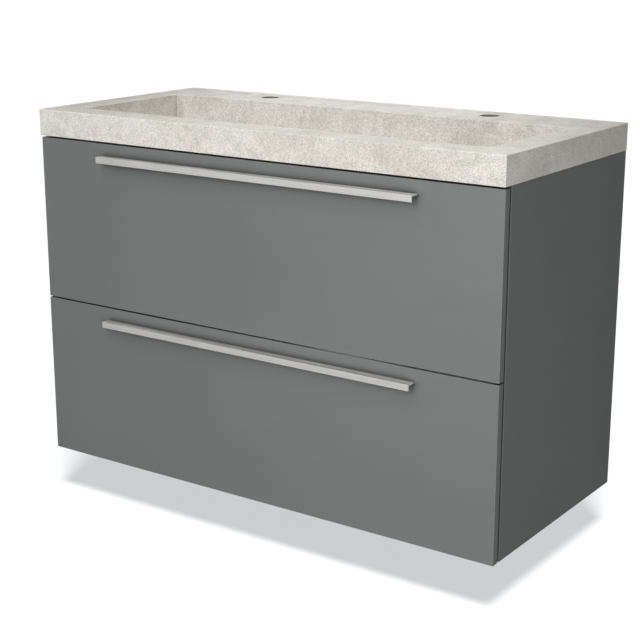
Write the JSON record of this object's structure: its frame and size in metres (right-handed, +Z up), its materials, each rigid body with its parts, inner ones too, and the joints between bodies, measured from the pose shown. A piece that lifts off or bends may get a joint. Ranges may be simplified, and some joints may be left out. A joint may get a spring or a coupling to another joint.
{
  "type": "bathroom vanity cabinet",
  "caption": "Wall-hung bathroom vanity with a concrete-look trough basin, tap holes in the rear deck and matt grey drawers that slide out by angle-bar handles.",
  "frame": {"origin": "centre of the wall rail's flat rear face, which lies on the wall", "axes": "+X to the right seen from in front, along the width; +Y into the wall; +Z up"},
  "size_m": [1, 0.477, 0.6835],
  "materials": {
    "concrete": "matt cast concrete look, honed",
    "lacquered_board": "matt grey lacquer",
    "melamine_board": "fine-textured grey melamine with matching edge band",
    "brushed_steel": "brushed along the bar",
    "zinc_steel": "zinc plated",
    "drawer_steel": "anthracite powder coat",
    "chrome": "polished",
    "rubber": "matt",
    "clear_buffer": "translucent soft buffer"
  },
  "bodies": {
    "cabinet": {"basin": "concrete", "waste_flange": "chrome", "waste_body": "chrome", "waste_cap": "chrome", "waste_washer": "rubber", "waste_nut": "chrome", "side_left": "lacquered_board", "side_right": "lacquered_board", "bottom_panel": "melamine_board", "front_rail": "melamine_board", "back_rail_upper": "melamine_board", "back_rail_lower": "melamine_board", "wall_rail": "zinc_steel", "hanger_left": "zinc_steel", "hanger_hook_left": "zinc_steel", "hanger_height_screw_left": "zinc_steel", "hanger_depth_screw_left": "zinc_steel", "hanger_right": "zinc_steel", "hanger_hook_right": "zinc_steel", "hanger_height_screw_right": "zinc_steel", "hanger_depth_screw_right": "zinc_steel", "upper_buffer_left": "clear_buffer", "upper_buffer_right": "clear_buffer", "lower_buffer_left": "clear_buffer", "lower_buffer_right": "clear_buffer", "upper_runner_cabinet_left": "zinc_steel", "upper_runner_cabinet_right": "zinc_steel", "lower_runner_cabinet_left": "zinc_steel", "lower_runner_cabinet_right": "zinc_steel"},
    "upper_drawer": {"upper_runner_drawer_left": "zinc_steel", "upper_drawer_side_left": "drawer_steel", "upper_front_bracket_left": "zinc_steel", "upper_handle_screw_left": "zinc_steel", "upper_drawer_back_left": "melamine_board", "upper_runner_drawer_right": "zinc_steel", "upper_drawer_side_right": "drawer_steel", "upper_front_bracket_right": "zinc_steel", "upper_handle_screw_right": "zinc_steel", "upper_drawer_back_right": "melamine_board", "upper_front": "lacquered_board", "upper_handle": "brushed_steel", "upper_drawer_base": "melamine_board", "upper_drawer_trap_guard": "drawer_steel"},
    "upper_runner_middle": {"upper_runner_middle_left": "zinc_steel", "upper_runner_middle_right": "zinc_steel"},
    "lower_drawer": {"lower_runner_drawer_left": "zinc_steel", "lower_drawer_side_left": "drawer_steel", "lower_front_bracket_left": "zinc_steel", "lower_handle_screw_left": "zinc_steel", "lower_runner_drawer_right": "zinc_steel", "lower_drawer_side_right": "drawer_steel", "lower_front_bracket_right": "zinc_steel", "lower_handle_screw_right": "zinc_steel", "lower_front": "lacquered_board", "lower_handle": "brushed_steel", "lower_drawer_base": "melamine_board", "lower_drawer_back": "melamine_board"},
    "lower_runner_middle": {"lower_runner_middle_left": "zinc_steel", "lower_runner_middle_right": "zinc_steel"}
  },
  "joints": [
    {"name": "upper_drawer_slide", "type": "slide", "parent": "cabinet", "child": "upper_drawer", "axis": [0, -1, 0], "range_m": [0, 0.38]},
    {"name": "upper_runner_middle_slide", "type": "slide", "parent": "cabinet", "child": "upper_runner_middle", "axis": [0, -1, 0], "range_m": [0, 0.19]},
    {"name": "lower_drawer_slide", "type": "slide", "parent": "cabinet", "child": "lower_drawer", "axis": [0, -1, 0], "range_m": [0, 0.38]},
    {"name": "lower_runner_middle_slide", "type": "slide", "parent": "cabinet", "child": "lower_runner_middle", "axis": [0, -1, 0], "range_m": [0, 0.19]}
  ],
  "couplings": [
    {"joint": "upper_runner_middle_slide", "follows": "upper_drawer_slide", "ratio": 0.5},
    {"joint": "lower_runner_middle_slide", "follows": "lower_drawer_slide", "ratio": 0.5}
  ]
}
